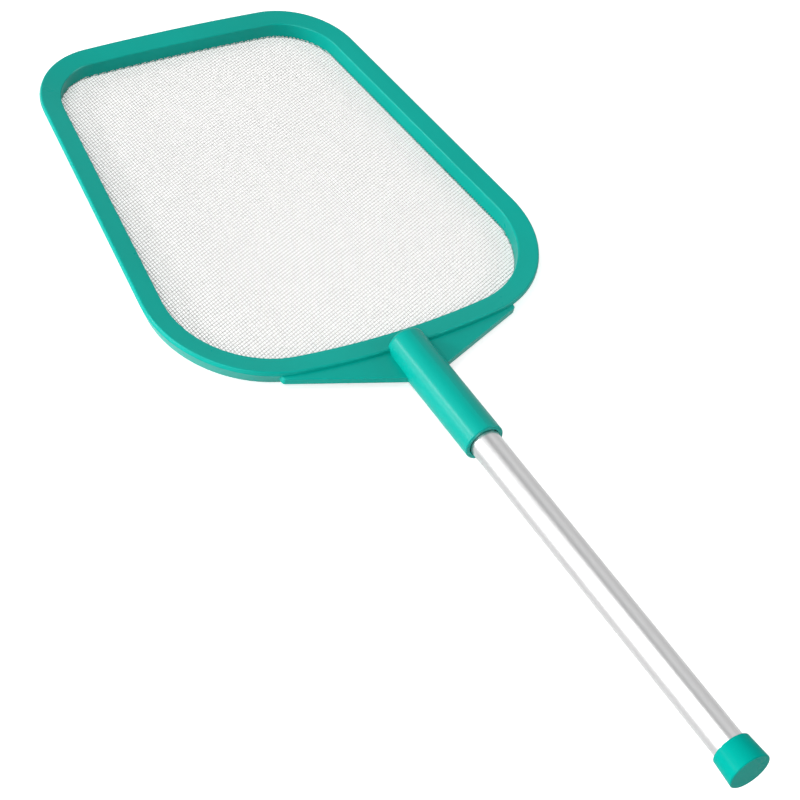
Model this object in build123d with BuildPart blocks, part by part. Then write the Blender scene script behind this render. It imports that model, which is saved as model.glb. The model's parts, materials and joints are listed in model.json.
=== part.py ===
from build123d import *
from math import atan2, cos, degrees, floor, radians, sin
import os

# Leaf skimmer net: a shallow scoop of two moulded frames with a fine net clamped between
# them, and a short aluminium pole in the socket of the lower frame.
# Millimetres, +Z up. The frames lie flat on Z = 0, the handle points along -Y, and the
# origin is under the middle of the whole net, from the front edge to the end of the cap.

os.makedirs("parts", exist_ok=True)

# ---------------------------------------------------------------- driving dimensions
# Plan of the head, measured at its widest line: bowed ends, straight sides that taper
# towards the front, and four round corners.
head_length = 349.9
near_width = 317.8          # between the sharp corners at the handle's end
near_bow = 21.0             # how far the near edge bulges towards the handle
far_width = 247.0
far_bow = 4.35
near_corner_radius = 84.8
far_corner_radius = 58.3

# Section of the rim.
rim_band = 15.45            # from the widest line in to the inner wall
net_depth = 11.3            # from the inner edge of the top down to the net
top_rise = 2.0              # the top face climbs this much towards the outside
shoulder_inset = 0.7        # the skirt flares out by this much from top to seam
seam_drop = 1.0             # the seam lies this far under the inner edge
foot_inset = 5.35           # the lower wall leans in by this much from seam to floor
frame_wall = 1.9
inner_edge_bevel = 0.6
shoulder_radius = 1.2
foot_bevel = 1.2
seam_gap = 0.1              # shadow line between the two frames
lap_depth = 1.05            # the lower frame's tongue stands this high inside the skirt
lap_thickness = 1.1
lap_clearance = 0.15

# Net and how it is clamped.
net_thickness = 0.45
clamp_floor = 1.2           # floor of the lower frame under the net's edge
channel_floor = 1.6
net_margin_clearance = 0.1
mesh_pitch = 32.0           # plain grid of openings that stands for the fine weave
mesh_bar = 8.1
mesh_border = 1.5           # between the openings and the rim's inner wall
bead_width = 1.0            # fence that keeps the net's edge in place
bead_height = 3.0

# Pegs that join the frames, in each half of the head.
pegs_per_half = 6
peg_length = 5.0            # along the rim
peg_width = 1.8
peg_clearance = 0.05
peg_inset = 9.3
peg_end_gap = 0.6
pocket_wall = 1.0
pocket_height = 7.6

# Handle: the pole's axis crosses the near edge at this height and climbs away from it.
axis_height = 12.6
handle_tilt = 3.08
pole_radius = 10.6
pole_wall = 0.8
pole_reach = 261.6          # bare pole between socket and cap

# Socket for the pole.
socket_wall = 3.6
socket_overlap = 5.4        # the closed end reaches this far in over the rim
socket_length = 100.7
socket_end_wall = 2.8
socket_nose_radius = 3.5
socket_mouth_bevel = 0.6    # round its outside
socket_lead_in = 0.4        # round the mouth of the bore
fit_gap = 0.4               # open gap round the pole between the grip ribs
grip_clearance = 0.05       # running clearance between the pole and what grips it
grip_rib_width = 1.6
grip_rib_count = 6
pole_end_gap = 0.2
notch_clearance = 0.12      # round the socket, in the upper frame

# Gusset plate between the socket and the rim.
gusset_half_width = 92.4
gusset_apex = 28.5          # where its two front edges would meet, out from the near edge
gusset_slope = 0.3687
gusset_height = 4.9
gusset_skin = 2.2
gusset_lip = 2.0
gusset_tip_radius = 2.6
gusset_edge_bevel = 0.5
gusset_rib_width = 1.6
gusset_rib_pitch = 17.0
gusset_rib_count = 5        # on each side of the socket
gusset_root = 4.0           # how far the plate reaches into the rim's wall

# End cap.
cap_length = 18.35
cap_mouth_radius = 12.85
cap_end_radius = 14.15
cap_end_wall = 2.5
cap_edge_bevel = 0.5
cap_lip_bevel = 0.4

# ---------------------------------------------------------------- derived places
net_top = clamp_floor + net_thickness
inner_edge_z = net_top + net_depth
shoulder_z = inner_edge_z + top_rise
seam_z = inner_edge_z - seam_drop
lower_lean = foot_inset / seam_z
top_slope = top_rise / (rim_band - shoulder_inset)

tilt = radians(handle_tilt)
socket_radius = pole_radius + socket_wall
bore_radius = pole_radius + fit_gap
grip_radius = pole_radius + grip_clearance
socket_mouth = socket_length - socket_overlap
bore_bottom = socket_end_wall - socket_overlap
pole_start = bore_bottom + pole_end_gap
cap_start = socket_mouth + pole_reach
cap_tail = cap_start + cap_length
pole_tail = cap_tail - cap_end_wall - pole_end_gap

# The rearmost point is the lower edge of the cap's end face. It and the front edge are
# equally far from the origin.
cap_overhang = cap_tail * cos(tilt) + (cap_end_radius - cap_edge_bevel) * sin(tilt)
near_edge_y = (cap_overhang - head_length) / 2
front_edge_y = near_edge_y + head_length

rim_section_plane = Plane(origin=(0, front_edge_y, 0), x_dir=(0, 1, 0), z_dir=(1, 0, 0))
handle_plane = Plane(
    origin=(0, near_edge_y, axis_height), x_dir=(1, 0, 0), z_dir=(0, -cos(tilt), sin(tilt))
)
handle_section_plane = Plane(
    origin=handle_plane.origin, x_dir=handle_plane.y_dir, z_dir=(1, 0, 0)
)


def half_outline():
    """Right half of the head's widest line, from the front edge to the near edge."""
    with BuildLine() as half:
        far_edge = TangentArc(
            (0, front_edge_y), (far_width / 2, front_edge_y - far_bow), tangent=(1, 0)
        )
        near_edge = TangentArc(
            (0, near_edge_y), (near_width / 2, near_edge_y + near_bow), tangent=(1, 0)
        )
        far_corner = far_edge @ 1
        near_corner = near_edge @ 1
        Line(far_corner, near_corner)
        fillet(half.vertices().sort_by_distance(far_corner)[0], radius=far_corner_radius)
        fillet(half.vertices().sort_by_distance(near_corner)[0], radius=near_corner_radius)
    return half.wire()


def head_face(inset=0):
    """Everything inside the widest line, drawn in by an inset."""
    with BuildSketch() as face:
        with BuildLine():
            add(half_outline())
            mirror(about=Plane.YZ)
        make_face()
        if inset:
            offset(amount=-inset)
    return face.sketch


def top_z(inset):
    """Height of the upper frame's sloping top face."""
    return inner_edge_z + (rim_band - inset) * top_slope


def lower_wall_x(z):
    """Place of the lower frame's leaning outer face at a height."""
    return -lower_lean * (seam_z - z)


rim_path = half_outline()


def peg_spots():
    """Places of the pegs in the right half of the channel, turned to run along the rim."""
    spots = []
    for step in range(pegs_per_half):
        share = (step + 0.5) / pegs_per_half
        along = rim_path % share
        inward = along.rotate(Axis.Z, -90)
        place = rim_path @ share + inward * peg_inset
        turn = degrees(atan2(along.Y, along.X))
        spots.append(Location(place, (0, 0, turn)))
    return spots


def rounded(section, corner, radius):
    """Rounds the corner of a section that lies nearest to a point."""
    fillet(section.vertices().sort_by_distance(corner)[0], radius=radius)


def bevelled(section, corner, length):
    """Cuts the corner of a section that lies nearest to a point."""
    chamfer(section.vertices().sort_by_distance(corner)[0], length=length)


def socket_body(growth=0):
    """Round body of the socket with its closed nose, or the space it needs."""
    radius = socket_radius + growth
    nose = -socket_overlap - growth
    with BuildPart() as body:
        with BuildSketch(handle_section_plane) as half_section:
            with BuildLine():
                Polyline(
                    (0, nose),
                    (radius, nose),
                    (radius, socket_mouth),
                    (0, socket_mouth),
                    close=True,
                )
            make_face()
            rounded(half_section, (radius, nose), socket_nose_radius + growth)
            bevelled(half_section, (radius, socket_mouth), socket_mouth_bevel)
        revolve(axis=Axis(handle_plane.origin, handle_plane.z_dir))
    return body.part


# ---------------------------------------------------------------- upper frame
# An L-shaped ring: top face, tall inner wall that presses on the net, and a short skirt
# whose lap hides the lower frame's tongue. Pegs hang from the top face.
foot_outside = -rim_band + frame_wall
lap_top = seam_z + lap_depth + lap_clearance
lap_inside = -2 * lap_thickness - lap_clearance

with BuildPart() as upper_frame:
    with BuildSketch(rim_section_plane) as upper_section:
        with BuildLine():
            Polyline(
                (-rim_band, net_top),
                (-rim_band, inner_edge_z),
                (-shoulder_inset, shoulder_z),
                (0, seam_z + seam_gap),
                (-lap_thickness, seam_z + seam_gap),
                (-lap_thickness, lap_top),
                (lap_inside, lap_top),
                (foot_outside, top_z(rim_band - frame_wall) - frame_wall),
                (foot_outside, net_top),
                close=True,
            )
        make_face()
        bevelled(upper_section, (-rim_band, inner_edge_z), inner_edge_bevel)
        rounded(upper_section, (-shoulder_inset, shoulder_z), shoulder_radius)
    sweep(path=rim_path)
    with BuildSketch(Plane.XY.offset(channel_floor + peg_end_gap)):
        with Locations(*peg_spots()):
            Rectangle(peg_length, peg_width)
    extrude(until=Until.NEXT)
    mirror(about=Plane.YZ)
    # Notch that fits round the nose of the socket.
    add(socket_body(notch_clearance), mode=Mode.SUBTRACT)
upper_frame.part.label = "upper_frame"
export_step(upper_frame.part, "parts/upper_frame.step")

# ---------------------------------------------------------------- net
# A whole margin that the frames clamp, and bars between openings inside it.
mesh_columns = 2 * floor(near_width / 2 / mesh_pitch) + 1
mesh_rows = 2 * floor(head_length / 2 / mesh_pitch) + 1

with BuildPart() as net:
    with BuildSketch(Plane.XY.offset(clamp_floor)):
        add(head_face(-foot_outside + net_margin_clearance))
    extrude(amount=net_thickness)
    with BuildSketch(Plane.XY.offset(clamp_floor)):
        with Locations((0, near_edge_y + head_length / 2)):
            with GridLocations(mesh_pitch, mesh_pitch, mesh_columns, mesh_rows):
                Rectangle(mesh_pitch - mesh_bar, mesh_pitch - mesh_bar)
        add(head_face(rim_band + mesh_border), mode=Mode.INTERSECT)
    extrude(amount=net_thickness, mode=Mode.SUBTRACT)
net.part.label = "net"
export_step(net.part, "parts/net.step")

# ---------------------------------------------------------------- lower frame
# A tray-shaped ring with a fence beside the net's edge, a tongue along the seam and pockets
# for the pegs. The gusset plate and the pole's socket are moulded with it.
fence_outside = foot_outside + bead_width
gusset_floor = seam_z - gusset_height


def gusset_triangle():
    """The plate's outline, from its front edges back to the middle of the head."""
    tip_y = near_edge_y - gusset_apex + gusset_slope * gusset_half_width
    back_y = near_edge_y + head_length / 2
    with BuildSketch() as triangle:
        with BuildLine():
            Polyline(
                (-gusset_half_width, back_y),
                (-gusset_half_width, tip_y),
                (0, near_edge_y - gusset_apex),
                (gusset_half_width, tip_y),
                (gusset_half_width, back_y),
                close=True,
            )
        make_face()
        fillet(triangle.vertices().group_by(Axis.Y)[1], radius=gusset_tip_radius)
    return triangle.sketch


# Space inside the two frames, which the plate's root mustn't fill.
with BuildPart() as channel:
    with BuildSketch(rim_section_plane):
        with BuildLine():
            Polyline(
                (fence_outside, channel_floor),
                (lower_wall_x(channel_floor) + lap_inside, channel_floor),
                (lap_inside, seam_z),
                (fence_outside, seam_z),
                close=True,
            )
        make_face()
    sweep(path=rim_path)
    mirror(about=Plane.YZ)

# The plate is a skin with a lip turned down round its front and ribs underneath.
with BuildPart() as gusset:
    with BuildSketch(Plane.XY.offset(gusset_floor)):
        add(gusset_triangle())
    extrude(amount=gusset_height)
    top_edges = gusset.faces().sort_by(Axis.Z)[-1].edges().sort_by(Axis.Y)
    chamfer(top_edges[:-1], length=gusset_edge_bevel)
    with BuildSketch(Plane.XY.offset(gusset_floor)):
        add(head_face(gusset_root))
    extrude(amount=gusset_height, mode=Mode.SUBTRACT)
    with BuildSketch(Plane.XY.offset(gusset_floor)):
        add(gusset_triangle())
        offset(amount=-gusset_lip)
        add(head_face(), mode=Mode.SUBTRACT)
        with Locations((0, near_edge_y)):
            with GridLocations(gusset_rib_pitch, 1, 2 * gusset_rib_count, 1):
                Rectangle(gusset_rib_width, head_length / 2, mode=Mode.SUBTRACT)
    extrude(amount=gusset_height - gusset_skin, mode=Mode.SUBTRACT)
    add(channel.part, mode=Mode.SUBTRACT)

with BuildPart() as lower_frame:
    with BuildSketch(rim_section_plane) as lower_section:
        with BuildLine():
            Polyline(
                (-rim_band, 0),
                (-rim_band, clamp_floor),
                (foot_outside + net_margin_clearance, clamp_floor),
                (foot_outside + net_margin_clearance, bead_height),
                (fence_outside, bead_height),
                (fence_outside, channel_floor),
                (lower_wall_x(channel_floor) + lap_inside, channel_floor),
                (lap_inside, seam_z),
                (lap_inside, seam_z + lap_depth),
                (-lap_thickness - lap_clearance, seam_z + lap_depth),
                (-lap_thickness - lap_clearance, seam_z),
                (0, seam_z),
                (-foot_inset, 0),
                close=True,
            )
        make_face()
        bevelled(lower_section, (-foot_inset, 0), foot_bevel)
    sweep(path=rim_path)
    with BuildSketch(Plane.XY.offset(channel_floor)):
        with Locations(*peg_spots()):
            growth = 2 * (peg_clearance + pocket_wall)
            Rectangle(peg_length + growth, peg_width + growth)
    extrude(amount=pocket_height - channel_floor)
    with BuildSketch(Plane.XY.offset(channel_floor)):
        with Locations(*peg_spots()):
            Rectangle(peg_length + 2 * peg_clearance, peg_width + 2 * peg_clearance)
    extrude(amount=pocket_height - channel_floor, mode=Mode.SUBTRACT)
    mirror(about=Plane.YZ)
    add(gusset.part)
    add(socket_body())
    split(bisect_by=Plane.XY, keep=Keep.TOP)
    # Bore with ribs that touch the pole.
    with BuildSketch(handle_plane.offset(bore_bottom)):
        Circle(bore_radius)
        with PolarLocations(bore_radius, grip_rib_count):
            Rectangle(2 * fit_gap, grip_rib_width, mode=Mode.SUBTRACT)
        Circle(grip_radius)
    extrude(amount=socket_mouth - bore_bottom, mode=Mode.SUBTRACT)
    with BuildSketch(handle_section_plane):
        with BuildLine():
            Polyline(
                (0, socket_mouth),
                (bore_radius + socket_lead_in, socket_mouth),
                (bore_radius - fit_gap, socket_mouth - socket_lead_in - fit_gap),
                (0, socket_mouth - socket_lead_in - fit_gap),
                close=True,
            )
        make_face()
    revolve(axis=Axis(handle_plane.origin, handle_plane.z_dir), mode=Mode.SUBTRACT)
lower_frame.part.label = "lower_frame"
export_step(lower_frame.part, "parts/lower_frame.step")

# ---------------------------------------------------------------- pole
with BuildPart() as pole:
    with BuildSketch(handle_plane.offset(pole_start)):
        Circle(pole_radius)
        Circle(pole_radius - pole_wall, mode=Mode.SUBTRACT)
    extrude(amount=pole_tail - pole_start)
pole.part.label = "pole"
export_step(pole.part, "parts/pole.step")

# ---------------------------------------------------------------- end cap
with BuildPart() as end_cap:
    with BuildSketch(handle_section_plane) as cap_section:
        with BuildLine():
            Polyline(
                (0, cap_start),
                (cap_mouth_radius, cap_start),
                (cap_end_radius, cap_tail),
                (0, cap_tail),
                close=True,
            )
        make_face()
        bevelled(cap_section, (cap_end_radius, cap_tail), cap_edge_bevel)
        bevelled(cap_section, (cap_mouth_radius, cap_start), cap_lip_bevel)
    revolve(axis=Axis(handle_plane.origin, handle_plane.z_dir))
    with BuildSketch(handle_plane.offset(cap_start)):
        Circle(grip_radius)
    extrude(amount=cap_length - cap_end_wall, mode=Mode.SUBTRACT)
end_cap.part.label = "end_cap"
export_step(end_cap.part, "parts/end_cap.step")
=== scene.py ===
# %% [markdown]
# # A leaf skimmer net
#
# This lesson dresses a leaf skimmer: a shallow scoop of two moulded rings with a woven
# net clamped between them, a short tube in the socket of the lower ring, and a cap on
# the tube's far end. The rings, the tube and the cap arrive as exact solids in metres.
# What is left for Blender is the woven net, the finish of every surface, the light and
# the camera.

# %% Load the frame
import json
from math import atan2, ceil, cos, degrees, floor, radians, sin

import bpy
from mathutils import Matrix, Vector
from mathutils.geometry import convex_hull_2d


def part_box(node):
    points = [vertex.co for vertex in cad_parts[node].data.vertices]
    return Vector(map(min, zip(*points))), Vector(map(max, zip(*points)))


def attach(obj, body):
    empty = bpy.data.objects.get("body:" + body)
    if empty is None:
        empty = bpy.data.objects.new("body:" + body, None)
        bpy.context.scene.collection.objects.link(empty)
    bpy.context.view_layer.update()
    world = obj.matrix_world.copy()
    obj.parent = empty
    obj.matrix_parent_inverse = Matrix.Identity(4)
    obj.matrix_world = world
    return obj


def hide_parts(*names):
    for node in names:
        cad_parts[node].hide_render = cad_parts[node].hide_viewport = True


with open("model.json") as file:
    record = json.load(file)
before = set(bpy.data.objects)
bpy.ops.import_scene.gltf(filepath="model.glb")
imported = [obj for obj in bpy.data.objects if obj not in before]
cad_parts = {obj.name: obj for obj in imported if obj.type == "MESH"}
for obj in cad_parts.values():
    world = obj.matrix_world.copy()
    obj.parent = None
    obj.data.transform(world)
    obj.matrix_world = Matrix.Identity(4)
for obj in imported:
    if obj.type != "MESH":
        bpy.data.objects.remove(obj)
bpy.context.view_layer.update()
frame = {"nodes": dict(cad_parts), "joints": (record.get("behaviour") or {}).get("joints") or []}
nodes = frame["nodes"]

# %% [markdown]
# ## The woven net
#
# The net is a plain weave: every long thread passes over one crossing thread and under
# the next, and its neighbour does the opposite. It could be painted on as a pattern,
# but then nothing would show through it and its edge would be flat from the side. Real
# threads are light enough to model if each one is a three-sided tube. Only the long
# threads rise and fall, with one ring of points at every crossing. The crossing threads
# stay straight, which nobody can tell once they are woven in.
#
# The weave lies a few degrees askew in the frame, as cut net does. Each thread runs
# from one edge of the net's outline to the other, and its ends are hidden in the clamp.

# %% Read the net's outline
net_low, net_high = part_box("net")
net_level = (net_low.z + net_high.z) / 2
net_middle = Vector(((net_low.x + net_high.x) / 2, (net_low.y + net_high.y) / 2))
spots = [
    vertex.co.xy - net_middle
    for vertex in nodes["net"].data.vertices
    if vertex.co.z > net_level
]
outline = [spots[index] for index in convex_hull_2d(spots)]
print("net outline from", len(outline), "points")

# %% [markdown]
# ### Two families of threads
#
# A family of parallel threads is given by the direction square to them and by their
# pitch, in metres like every size here. Where a thread of one family meets the threads
# of the other follows from both. The crossing threads are a little wider than the long
# ones, so that both show equally.

# %% Describe the two families
warp = {"across": radians(6.0), "pitch": 0.00235, "width": 0.00056, "height": 0.00050}
weft = {"across": radians(112.0), "pitch": 0.0024, "width": 0.00071, "height": 0.00045}
weave_swing = 0.00018


def directions(family):
    """Unit vectors across and along the threads of a family."""
    across = Vector((cos(family["across"]), sin(family["across"])))
    return across, Vector((-across.y, across.x))


print("thread pitch", warp["pitch"], "and", weft["pitch"])

# %% [markdown]
# ### Where threads end and cross
#
# A straight thread passes through the net's outline twice, and the clamp holds it
# there. It also meets the other family at evenly spaced places, because both families
# are straight and parallel. So a formula gives the crossings, and no pair of threads
# has to be compared.

# %% Work out how far a straight thread reaches
def thread_span(edge, across, along, place):
    """Where the thread at this distance across enters and leaves a rounded outline."""
    meets = []
    for here, there in zip(edge, edge[1:] + edge[:1]):
        before, after = here.dot(across) - place, there.dot(across) - place
        if before * after < 0:
            meets.append(here.lerp(there, before / (before - after)).dot(along))
    return (min(meets), max(meets)) if len(meets) > 1 else None


# %% Find the crossings along one thread
def crossings(row, family, other, span):
    """Distances along a thread at which the other family's threads meet it."""
    across, along = directions(family)
    other_across = directions(other)[0]
    shift = row * family["pitch"] * across.dot(other_across)
    slant = along.dot(other_across)
    ends = sorted((shift + reach * slant) / other["pitch"] for reach in span)
    columns = range(ceil(ends[0]), floor(ends[1]) + 1)
    meets = [((column * other["pitch"] - shift) / slant, column) for column in columns]
    return sorted(meets)


# %% [markdown]
# ### One thread
#
# A ring of three corners, set round the thread's middle line, is repeated at every
# station along it. Four-cornered faces join each ring to the next, and a triangle
# closes each end, so that a thread is a closed solid.

# %% Make one thread
def add_thread(stations, row, family, points, faces):
    """A three-sided tube through stations of distance along and height."""
    across, along = directions(family)
    half, height = family["width"] / 2, family["height"]
    ring = ((-half, -height / 3), (half, -height / 3), (0, 2 * height / 3))
    corners = len(ring)
    start = len(points)
    for reach, rise in stations:
        for side, lift in ring:
            spot = net_middle + across * (row * family["pitch"] + side) + along * reach
            points.append((spot.x, spot.y, net_level + rise + lift))
    last = start + corners * (len(stations) - 1)
    for base in range(start, last, corners):
        beyond = base + corners
        for corner in range(corners):
            following = (corner + 1) % corners
            faces.append(
                (base + following, base + corner, beyond + corner, beyond + following)
            )
    faces.append((start, start + 1, start + 2))
    faces.append((last + 2, last + 1, last))


# %% [markdown]
# ### Weaving
#
# Both families are laid row by row. Only the long threads get a swing, over at one
# crossing and under at the next. A row that is cut off to less than one pitch in a
# corner is left out. One mesh for the whole net is far quicker than an object for every
# thread.

# %% Weave the net
points, faces = [], []
for family, other, swing in ((warp, weft, weave_swing), (weft, warp, 0)):
    across, along = directions(family)
    rows = floor(max(abs(spot.dot(across)) for spot in outline) / family["pitch"])
    for row in range(-rows, rows + 1):
        span = thread_span(outline, across, along, row * family["pitch"])
        if not span or span[1] - span[0] < other["pitch"]:
            continue
        stations = [(span[0], 0)]
        if swing:
            for reach, column in crossings(row, family, other, span):
                stations.append((reach, swing if (row + column) % 2 else -swing))
        stations.append((span[1], 0))
        add_thread(stations, row, family, points, faces)
net_triangles = sum(len(face) - 2 for face in faces)
print("net:", len(points), "points,", net_triangles, "triangles")

# %% Turn the threads into one piece
weave = bpy.data.meshes.new("woven_net")
weave.from_pydata(points, [], faces)
weave.update()
woven_net = bpy.data.objects.new("woven_net", weave)
bpy.context.scene.collection.objects.link(woven_net)
print("piece made:", woven_net.name)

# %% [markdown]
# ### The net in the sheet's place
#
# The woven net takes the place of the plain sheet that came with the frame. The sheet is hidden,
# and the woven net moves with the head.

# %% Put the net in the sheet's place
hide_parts("net")
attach(woven_net, "head")

# %% [markdown]
# ## Building a finish from nodes
#
# The finishes here share a few steps: read a noise from the piece's own coordinates,
# colour the surface by it, let it move the shine, and raise fine bumps from it. The
# pattern stays on the piece when it moves, because the coordinates are the piece's own.
# Each helper adds one step, and a finish takes the steps that it needs.

# %% Helpers that begin a finish
def new_finish(name):
    """A material with its node tree and its shader."""
    material = bpy.data.materials.new(name)
    material.use_nodes = True
    tree = material.node_tree
    return material, tree, tree.nodes["Principled BSDF"]


def own_place(tree):
    """The socket with the piece's own coordinates."""
    return tree.nodes.new("ShaderNodeTexCoord").outputs["Object"]


# %% A helper for noise
def add_noise(tree, place, scale, detail):
    """A noise at a place, as a socket with values from 0 to 1."""
    noise = tree.nodes.new("ShaderNodeTexNoise")
    noise.inputs["Scale"].default_value = scale
    noise.inputs["Detail"].default_value = detail
    tree.links.new(place, noise.inputs["Vector"])
    return noise.outputs["Fac"]


# %% A helper for colour
def add_tones(tree, value, socket, stops):
    """Colours a socket by a value, through stops of position and colour."""
    tones = tree.nodes.new("ShaderNodeValToRGB")
    ramp = tones.color_ramp.elements
    for element, (position, colour) in zip(ramp, (stops[0], stops[-1])):
        element.position = position
        element.color = (*colour, 1)
    for position, colour in stops[1:-1]:
        ramp.new(position).color = (*colour, 1)
    tree.links.new(value, tones.inputs["Fac"])
    tree.links.new(tones.outputs["Color"], socket)


# %% A helper for shine
def add_range(tree, value, socket, low, high):
    """Lets a value from 0 to 1 move a socket between two levels."""
    levels = tree.nodes.new("ShaderNodeMapRange")
    levels.inputs["To Min"].default_value = low
    levels.inputs["To Max"].default_value = high
    tree.links.new(value, levels.inputs["Value"])
    tree.links.new(levels.outputs["Result"], socket)


# %% A helper for relief
def add_relief(tree, value, socket, strength, depth):
    """Raises fine bumps from a value, with their depth in metres."""
    bump = tree.nodes.new("ShaderNodeBump")
    bump.inputs["Strength"].default_value = strength
    bump.inputs["Distance"].default_value = depth
    tree.links.new(value, bump.inputs["Height"])
    tree.links.new(bump.outputs["Normal"], socket)


# %% [markdown]
# ## Moulded plastic
#
# The rings and the cap are a deep sea green, coloured right through. Moulded plastic is
# never quite even: the colour drifts slightly where the melt flowed, the skin has a
# very fine grain from the tool, and the shine changes a little from place to place.
# Each of the three has a noise of its own size. The cap is a shade deeper than the
# rings, and its lower IOR makes it mirror its surroundings less.

# %% Make a moulded plastic
def moulded_plastic(name, deep, light, roughness, ior):
    """Coloured plastic with a drifting colour, a fine grain and an uneven shine."""
    material, tree, surface = new_finish(name)
    place = own_place(tree)
    drift = add_noise(tree, place, scale=14.0, detail=3.0)
    add_tones(tree, drift, surface.inputs["Base Color"], [(0.3, deep), (0.7, light)])
    handled = add_noise(tree, place, scale=55.0, detail=4.0)
    smoothest, roughest = roughness - 0.04, roughness + 0.04
    add_range(tree, handled, surface.inputs["Roughness"], low=smoothest, high=roughest)
    skin = add_noise(tree, place, scale=1800.0, detail=2.0)
    add_relief(tree, skin, surface.inputs["Normal"], strength=0.35, depth=0.00002)
    surface.inputs["IOR"].default_value = ior
    return material


# %% Give the rings and the cap their plastic
ring_plastic = moulded_plastic(
    "sea_green_ring",
    deep=(0.0, 0.33, 0.272),
    light=(0.0, 0.362, 0.302),
    roughness=0.29,
    ior=1.25,
)
cap_plastic = moulded_plastic(
    "sea_green_cap",
    deep=(0.0, 0.32, 0.265),
    light=(0.0, 0.352, 0.294),
    roughness=0.27,
    ior=1.08,
)
print("plastics:", ring_plastic.name, cap_plastic.name)

# %% [markdown]
# ## Drawn aluminium
#
# The tube is drawn through a die and then anodised, which leaves a satin skin with very
# fine lines along its length. A noise with a very small scale along the tube is drawn
# out into such lines. The tube leans up a little as it leaves the head, so the mapping
# also turns the coordinates by that lean. The joint along which the tube pulls out
# gives the angle.

# %% Find the pole's lean
pole_slide = next(joint for joint in frame["joints"] if joint["name"] == "pole_slide")
pole_out = Vector(pole_slide["axis"]).normalized()
pole_lean = -atan2(pole_out.z, -pole_out.y)
print("the pole leans", round(-degrees(pole_lean), 2), "degrees")


# %% Make the drawn aluminium
def drawn_aluminium(name, lean):
    """Satin aluminium with fine lines along the tube."""
    material, tree, surface = new_finish(name)
    along_tube = 0.012
    stretch = tree.nodes.new("ShaderNodeMapping")
    stretch.inputs["Rotation"].default_value = (lean, 0, 0)
    stretch.inputs["Scale"].default_value = (1.0, along_tube, 1.0)
    tree.links.new(own_place(tree), stretch.inputs["Vector"])
    lines = add_noise(tree, stretch.outputs["Vector"], scale=2600.0, detail=4.0)
    dull, bright = (0.62, 0.62, 0.625), (0.69, 0.69, 0.69)
    add_tones(tree, lines, surface.inputs["Base Color"], [(0.3, dull), (0.7, bright)])
    add_range(tree, lines, surface.inputs["Roughness"], low=0.26, high=0.34)
    add_relief(tree, lines, surface.inputs["Normal"], strength=0.25, depth=0.00001)
    surface.inputs["Metallic"].default_value = 1.0
    return material


pole_metal = drawn_aluminium("drawn_aluminium", pole_lean)
print("metal:", pole_metal.name)

# %% [markdown]
# ## White net thread
#
# The thread is white polyester with a dull, slightly fuzzy surface. Seen from arm's
# length only its whiteness and the shade between the threads show, but close by it
# isn't even.

# %% Make the net's thread
def white_thread(name):
    """Dull white synthetic thread with a slightly uneven tone."""
    material, tree, surface = new_finish(name)
    fibres = add_noise(tree, own_place(tree), scale=3000.0, detail=3.0)
    shade, clean = (0.565, 0.555, 0.545), (0.665, 0.66, 0.65)
    tones = [(0.25, shade), (0.75, clean)]
    add_tones(tree, fibres, surface.inputs["Base Color"], tones)
    add_relief(tree, fibres, surface.inputs["Normal"], strength=0.4, depth=0.00003)
    surface.inputs["Roughness"].default_value = 0.6
    surface.inputs["Specular IOR Level"].default_value = 0.3
    return material


net_thread = white_thread("white_thread")
print("thread:", net_thread.name)

# %% [markdown]
# ## Dressing the pieces
#
# A solid may arrive with a plain material of its own. That is taken off first, so that
# each piece carries one finish and nothing else.

# %% Put each finish on its piece
def dress(piece, material):
    """One material on a piece, in place of whatever it came with."""
    piece.data.materials.clear()
    piece.data.materials.append(material)
    print(piece.name, "wears", material.name)


dress(nodes["upper_frame"], ring_plastic)
dress(nodes["lower_frame"], ring_plastic)
dress(nodes["end_cap"], cap_plastic)
dress(nodes["pole"], pole_metal)
dress(woven_net, net_thread)

# %% [markdown]
# ## Floor
#
# The skimmer lies on a plain white floor, a hair below the rim's foot, because two
# faces in one place flicker. An operator works on everything that is selected, and the
# loaded solids are selected. So everything is deselected first.

# %% Lay the floor
floor_side, floor_drop = 2.6, 0.0003
bpy.ops.object.select_all(action="DESELECT")
bpy.ops.mesh.primitive_plane_add(size=floor_side, location=(0, 0, -floor_drop))
floor_sheet = bpy.context.active_object
floor_sheet.name = "floor"
print("floor", floor_side, "metres square")

# %% [markdown]
# ### Floor paint
#
# The floor is matt and takes the shadows. It glows a little for the camera, and less
# for mirror rays, so that it reads as white without more light on the skimmer. The kind
# of ray that meets it decides how much it glows, by a little arithmetic.

# %% A helper for arithmetic
def calculate(tree, operation, *terms):
    """The result of a Math node on sockets and plain numbers, as a socket."""
    node = tree.nodes.new("ShaderNodeMath")
    node.operation = operation
    for term, socket in zip(terms, node.inputs):
        if isinstance(term, float):
            socket.default_value = term
        else:
            tree.links.new(term, socket)
    return node.outputs[0]


# %% Paint the floor
camera_glow, mirror_glow = 0.62, 0.15
floor_paint, paint_tree, paint = new_finish("floor_paint")
paint.inputs["Base Color"].default_value = (0.82, 0.82, 0.82, 1)
paint.inputs["Roughness"].default_value = 0.9
paint.inputs["Specular IOR Level"].default_value = 0.0
paint.inputs["Emission Color"].default_value = (1, 1, 1, 1)
seen = paint_tree.nodes.new("ShaderNodeLightPath").outputs
mirrored = calculate(paint_tree, "MULTIPLY", seen["Is Glossy Ray"], mirror_glow)
glow = calculate(
    paint_tree, "MULTIPLY_ADD", seen["Is Camera Ray"], camera_glow, mirrored
)
paint_tree.links.new(glow, paint.inputs["Emission Strength"])
floor_sheet.data.materials.append(floor_paint)
print("floor glow", camera_glow, "for the camera,", mirror_glow, "in mirrors")

# %% [markdown]
# ## Room
#
# The tube and the plastic mirror the room as much as the lamps. So the room has bright
# walls on the left and on the right and a darker ceiling between them, which gives the
# tube a grey band along its top. Only the camera sees the room as plain white.

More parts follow.
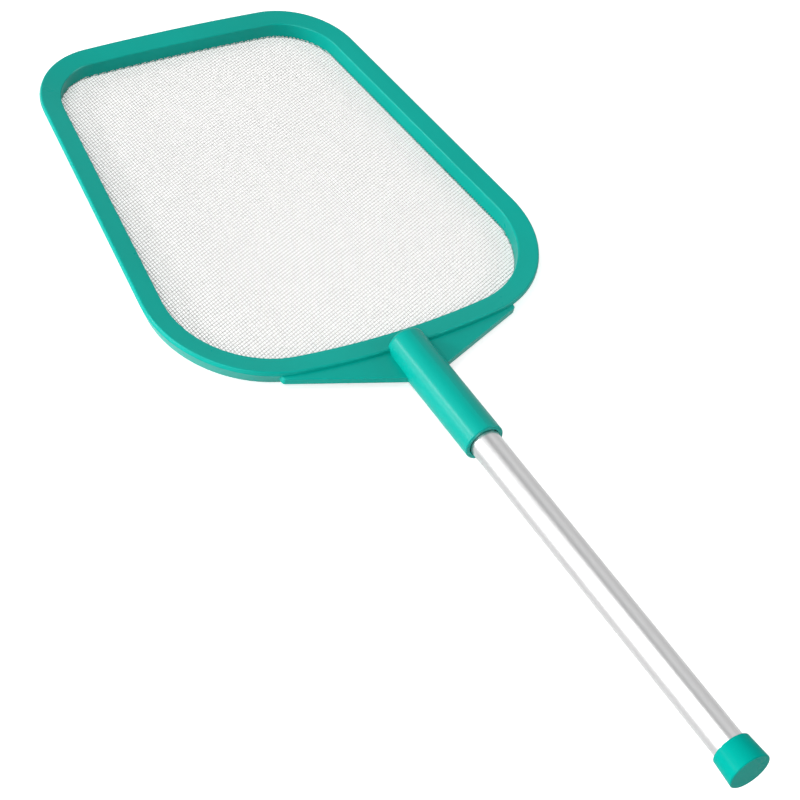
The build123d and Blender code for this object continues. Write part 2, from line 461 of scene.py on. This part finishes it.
# %% Measure the room from left to right
world = bpy.data.worlds.new("room")
bpy.context.scene.world = world
world.use_nodes = True
room = world.node_tree
facing = room.nodes.new("ShaderNodeTexCoord")
sides = room.nodes.new("ShaderNodeSeparateXYZ")
room.links.new(facing.outputs["Generated"], sides.inputs["Vector"])
left_to_right = room.nodes.new("ShaderNodeMapRange")
left_to_right.inputs["From Min"].default_value = -1.0
room.links.new(sides.outputs["X"], left_to_right.inputs["Value"])
print("world:", world.name)

# %% Give the room its walls and ceiling
backdrop = room.nodes["Background"]
ray = room.nodes.new("ShaderNodeLightPath").outputs
room_colour = room.nodes.new("ShaderNodeMixRGB")
room_colour.inputs["Color2"].default_value = (1, 1, 1, 1)
room.links.new(ray["Is Camera Ray"], room_colour.inputs["Fac"])
white, grey, pale = (1, 1, 1), (0.5, 0.5, 0.5), (0.7, 0.7, 0.7)
room_tones = [(0.30, white), (0.50, grey), (0.72, white), (0.97, pale)]
add_tones(
    room, left_to_right.outputs["Result"], room_colour.inputs["Color1"], room_tones
)
room.links.new(room_colour.outputs["Color"], backdrop.inputs["Color"])
print("room tones from left to right:", [tone[0] for _, tone in room_tones])

# %% [markdown]
# ### How strongly the room shines
#
# The camera, mirror rays and rays through glass meet the room at full strength. The
# light that it sheds on everything else is weak, so that the lamps keep their shadows.

# %% Set the room's strength
shed_light, full_light = 0.24, 1.0
shown = calculate(room, "MAXIMUM", ray["Is Camera Ray"], ray["Is Glossy Ray"])
shown = calculate(room, "MAXIMUM", shown, ray["Is Transmission Ray"])
add_range(room, shown, backdrop.inputs["Strength"], low=shed_light, high=full_light)
print("room sheds", shed_light, "and is seen at", full_light)

# %% [markdown]
# ## Lamps
#
# Five soft lamps stand round the skimmer. The high lamp on the left is the main light
# on the top faces. The gleam lamp is small and stands where the socket mirrors it,
# which draws the long highlight on the socket. The strip lamp lies almost on the floor
# and brightens mostly the outer side of the rim. The front lamp and the side lamp
# soften the shadows. A single large lamp would be simpler, but it couldn't light the
# rim and the socket apart.

# %% Make one lamp
lamp_target = Vector((0, -0.05, 0))


def hang_lamp(name, place, width, height, watts):
    """A soft flat lamp at a place, turned towards the skimmer."""
    light = bpy.data.lights.new(name, "AREA")
    light.shape = "RECTANGLE"
    light.size = width
    light.size_y = height
    light.energy = watts
    hung = bpy.data.objects.new(name, light)
    bpy.context.scene.collection.objects.link(hung)
    hung.location = place
    towards = lamp_target - Vector(place)
    hung.rotation_euler = towards.to_track_quat("-Z", "Y").to_euler()
    print(name, watts, "watts")


# %% Hang the lamps
hang_lamp("high_lamp", (-1.15, 0.1, 1.88), width=1.0, height=1.0, watts=19)
hang_lamp("gleam_lamp", (-1.55, 1.02, 0.75), width=0.5, height=0.25, watts=12)
hang_lamp("strip_lamp", (-1.8, 0.3, 0.17), width=1.3, height=0.3, watts=24)
hang_lamp("front_lamp", (-1.1, -1.0, 1.3), width=1.0, height=1.0, watts=13)
hang_lamp("side_lamp", (1.5, -0.6, 0.9), width=0.6, height=0.6, watts=9)

# %% [markdown]
# ## Camera
#
# The skimmer is seen from above its left rear corner, with the camera rolled a little
# so that the pole runs down to the right. A long lens keeps the rim's sides nearly
# parallel.

# %% Set up the camera
lens = bpy.data.cameras.new("camera")
lens.lens = 92.762
lens.sensor_width = 36
camera = bpy.data.objects.new("camera", lens)
bpy.context.scene.collection.objects.link(camera)
camera.location = (-0.655489, -0.708897, 0.987439)
camera.rotation_euler = (radians(42.469), radians(-10.596), radians(-31.154))
bpy.context.scene.camera = camera
bpy.context.scene.view_settings.view_transform = "Standard"
print("lens", round(lens.lens, 1), "mm")
